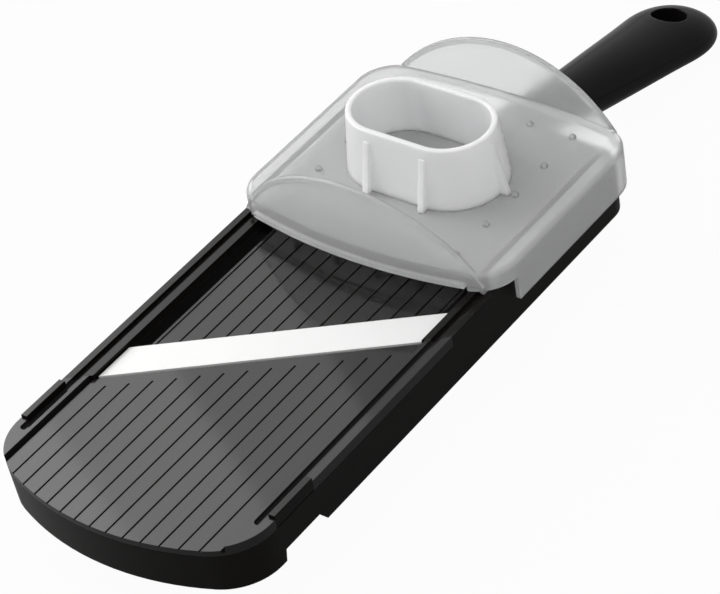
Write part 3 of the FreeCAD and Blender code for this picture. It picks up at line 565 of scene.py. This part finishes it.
@dataclass
class DialMarks:
    """Raised settings on the dial's underside, in design millimetres."""

    centre_y: float = 149.0
    under: float = -15.2
    ring: float = 11.2
    height: float = 3.4
    proud: float = 0.25
    settings: Tuple[Tuple[str, float], ...] = (
        ("0.5", 162.0), ("1.3", 75.6), ("2.0", 0.0), ("3.0", -108.0))

    def build(self, paints: PaintBox) -> None:
        """Model a number at each setting.

        Args:
            paints: The built materials.
        """
        for text, turn in self.settings:
            Modeller.clear()
            bpy.ops.object.text_add()
            mark = bpy.context.object
            mark.data.body = text
            mark.data.align_x = "CENTER"
            mark.data.align_y = "CENTER"
            mark.data.size = self.height * MM
            mark.data.extrude = self.proud * MM
            bpy.ops.object.convert(target="MESH")
            mark = bpy.context.object
            angle = math.radians(-turn)
            out = Vector((math.cos(angle), math.sin(angle), 0.0))
            side = Vector((-out.y, out.x, 0.0))
            spot = design(0.0, self.centre_y, self.under) + out * self.ring * MM
            turned = Matrix((side, out, (0.0, 0.0, -1.0))).transposed().to_4x4()
            mark.matrix_world = Matrix.Translation(spot) @ turned
            Modeller.settle(mark, "dial_mark_" + text.replace(".", "_"),
                            paints.of(WHITE_CERAMIC), Body.DIAL, "dial_plastic")


@dataclass
class Studio:
    """Floor, lamps, background and camera.

    The camera's numbers are in pixels, degrees and design millimetres. The lamps' are in watts
    and metres, and the points that they face in design millimetres.
    """

    focal: float = 3233.12
    frame_width: float = 720.0
    azimuth: float = 41.81
    elevation: float = 38.78
    roll: float = -9.77
    distance: float = 907.69
    slide: Tuple[float, float] = (-37.61, -26.72)
    aim: Tuple[float, float, float] = (0.0, 61.3, 0.0)
    panel_power: float = 6.2
    panel_size: Tuple[float, float] = (1.3, 0.8)
    panel_away: float = 1.1
    panel_lift: float = 0.17
    panel_aim: Tuple[float, float, float] = (-20.0, 60.0, 0.0)
    panel_asides: Tuple[float, ...] = (0.56, 0.66, 0.76)
    fill_power: float = 0.75
    fill_away: float = 0.38
    fill_size: Tuple[float, float] = (0.3, 0.3)
    fill_side: Tuple[float, float, float] = (-0.85, -0.22, 0.6)
    fill_aim: Tuple[float, float, float] = (-20.0, 140.0, 8.0)
    front_power: float = 4.2
    front_away: float = 1.2
    front_lift: float = 0.8
    front_size: Tuple[float, float] = (0.8, 0.8)
    front_aim: Tuple[float, float, float] = (0.0, 120.0, 0.0)
    room_level: float = 0.5
    floor_size: float = 8.0
    floor_grey: float = 0.42
    floor_white: float = 0.96

    def build(self) -> None:
        """Set up the whole studio."""
        bpy.context.scene.view_settings.view_transform = "Standard"
        self._floor()
        self._world()
        self._lamps()
        self._camera()

    def _axes(self) -> Tuple[Vector, Vector, Vector]:
        """Right, up and back of the camera.

        Returns:
            The three unit vectors.
        """
        turn, lift, lean = (math.radians(a) for a in (self.azimuth, self.elevation, self.roll))
        level = math.cos(lift)
        back = Vector((math.sin(turn) * level, -math.cos(turn) * level, math.sin(lift)))
        right = Vector((math.cos(turn), math.sin(turn), 0.0))
        up = back.cross(right)
        leaned = right * math.cos(lean) + up * math.sin(lean)
        return leaned, up * math.cos(lean) - right * math.sin(lean), back

    def _camera(self) -> None:
        """Camera at the photograph's place."""
        right, up, back = self._axes()
        shift = back * self.distance - right * self.slide[0] - up * self.slide[1]
        eye = design(*self.aim) + shift * MM
        data = bpy.data.cameras.new("camera")
        data.sensor_fit = "HORIZONTAL"
        data.lens = self.focal * data.sensor_width / self.frame_width
        data.clip_end = 50.0
        camera = bpy.data.objects.new("camera", data)
        bpy.context.scene.collection.objects.link(camera)
        turned = Matrix((right, up, back)).transposed().to_4x4()
        camera.matrix_world = Matrix.Translation(eye) @ turned
        bpy.context.scene.camera = camera

    def _floor(self) -> None:
        """Plain pale floor that shows white, keeps a soft shadow and is clear from below."""
        Modeller.clear()
        bpy.ops.mesh.primitive_plane_add(size=self.floor_size, location=(0.0, 0.0, 0.0))
        floor = bpy.context.object
        floor.name = "floor"
        material = bpy.data.materials.new("pale_floor")
        material.use_nodes = True
        tree = material.node_tree
        shader = tree.nodes["Principled BSDF"]
        shader.inputs["Base Color"].default_value = (*[self.floor_grey] * 3, 1.0)
        shader.inputs["Roughness"].default_value = 0.9
        shader.inputs["Specular IOR Level"].default_value = 0.1
        glow = tree.nodes.new("ShaderNodeEmission")
        seen = tree.nodes.new("ShaderNodeLightPath")
        either = tree.nodes.new("ShaderNodeMath")
        either.operation = "MAXIMUM"
        share = tree.nodes.new("ShaderNodeMath")
        share.operation = "MULTIPLY"
        share.inputs[1].default_value = self.floor_white
        mix = tree.nodes.new("ShaderNodeMixShader")
        tree.links.new(seen.outputs["Is Camera Ray"], either.inputs[0])
        tree.links.new(seen.outputs["Is Transmission Ray"], either.inputs[1])
        tree.links.new(either.outputs[0], share.inputs[0])
        tree.links.new(share.outputs[0], mix.inputs[0])
        tree.links.new(shader.outputs[0], mix.inputs[1])
        tree.links.new(glow.outputs[0], mix.inputs[2])
        below = tree.nodes.new("ShaderNodeNewGeometry")
        clear = tree.nodes.new("ShaderNodeBsdfTransparent")
        sided = tree.nodes.new("ShaderNodeMixShader")
        tree.links.new(below.outputs["Backfacing"], sided.inputs[0])
        tree.links.new(mix.outputs[0], sided.inputs[1])
        tree.links.new(clear.outputs[0], sided.inputs[2])
        tree.links.new(sided.outputs[0], tree.nodes["Material Output"].inputs["Surface"])
        floor.data.materials.append(material)

    def _world(self) -> None:
        """White behind the object, and a dimmer room on its surfaces."""
        world = bpy.data.worlds.new("studio")
        world.use_nodes = True
        tree = world.node_tree
        back = tree.nodes["Background"]
        back.inputs["Color"].default_value = (1.0, 1.0, 1.0, 1.0)
        seen = tree.nodes.new("ShaderNodeLightPath")
        either = tree.nodes.new("ShaderNodeMath")
        either.operation = "MAXIMUM"
        level = tree.nodes.new("ShaderNodeMapRange")
        level.inputs["To Min"].default_value = self.room_level
        level.inputs["To Max"].default_value = 1.0
        tree.links.new(seen.outputs["Is Camera Ray"], either.inputs[0])
        tree.links.new(seen.outputs["Is Transmission Ray"], either.inputs[1])
        tree.links.new(either.outputs[0], level.inputs["Value"])
        tree.links.new(level.outputs[0], back.inputs["Strength"])
        bpy.context.scene.world = world

    def _lamps(self) -> None:
        """Panels mirrored by the decks, a soft fill from the left and a lamp over the camera."""
        back = self._axes()[2]
        mirror = Vector((-back.x, -back.y, back.z))
        aside = Vector((0.0, 0.0, 1.0)).cross(mirror).normalized()
        share = self.panel_power / len(self.panel_asides)
        lift = Vector((0.0, 0.0, self.panel_lift))
        for number, step in enumerate(self.panel_asides):
            reach = mirror * self.panel_away + aside * step + lift
            self._lamp("panel_%d" % number, design(*self.panel_aim), reach.normalized(),
                       reach.length, share, self.panel_size)
        side = Vector(self.fill_side).normalized()
        self._lamp("fill", design(*self.fill_aim), side, self.fill_away, self.fill_power,
                   self.fill_size)
        ahead = Vector((back.x, back.y, back.z + self.front_lift)).normalized()
        self._lamp("front", design(*self.front_aim), ahead, self.front_away, self.front_power,
                   self.front_size)

    @staticmethod
    def _lamp(name: str, target: Vector, way: Vector, away: float, power: float,
              size: Tuple[float, float]) -> None:
        """One area lamp that faces a point.

        Args:
            name: Lamp name.
            target: Point it faces.
            way: Direction from the point to the lamp.
            away: Distance to the lamp in metres.
            power: Watts.
            size: Width and height in metres.
        """
        data = bpy.data.lights.new(name, "AREA")
        data.shape = "RECTANGLE"
        data.size, data.size_y = size
        data.energy = power
        lamp = bpy.data.objects.new(name, data)
        bpy.context.scene.collection.objects.link(lamp)
        turned = way.to_track_quat("Z", "Y").to_matrix().to_4x4()
        lamp.matrix_world = Matrix.Translation(target + way * away) @ turned


def main() -> None:
    """Dress the nodes, model the added pieces and set up the studio."""
    logging.basicConfig(level=logging.INFO)
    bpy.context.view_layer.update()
    paints = PaintBox()
    Dressing().apply(paints)
    ShieldRims().build(paints)
    DialMarks().build(paints)
    Studio().build()


if __name__ == "__main__":
    main()
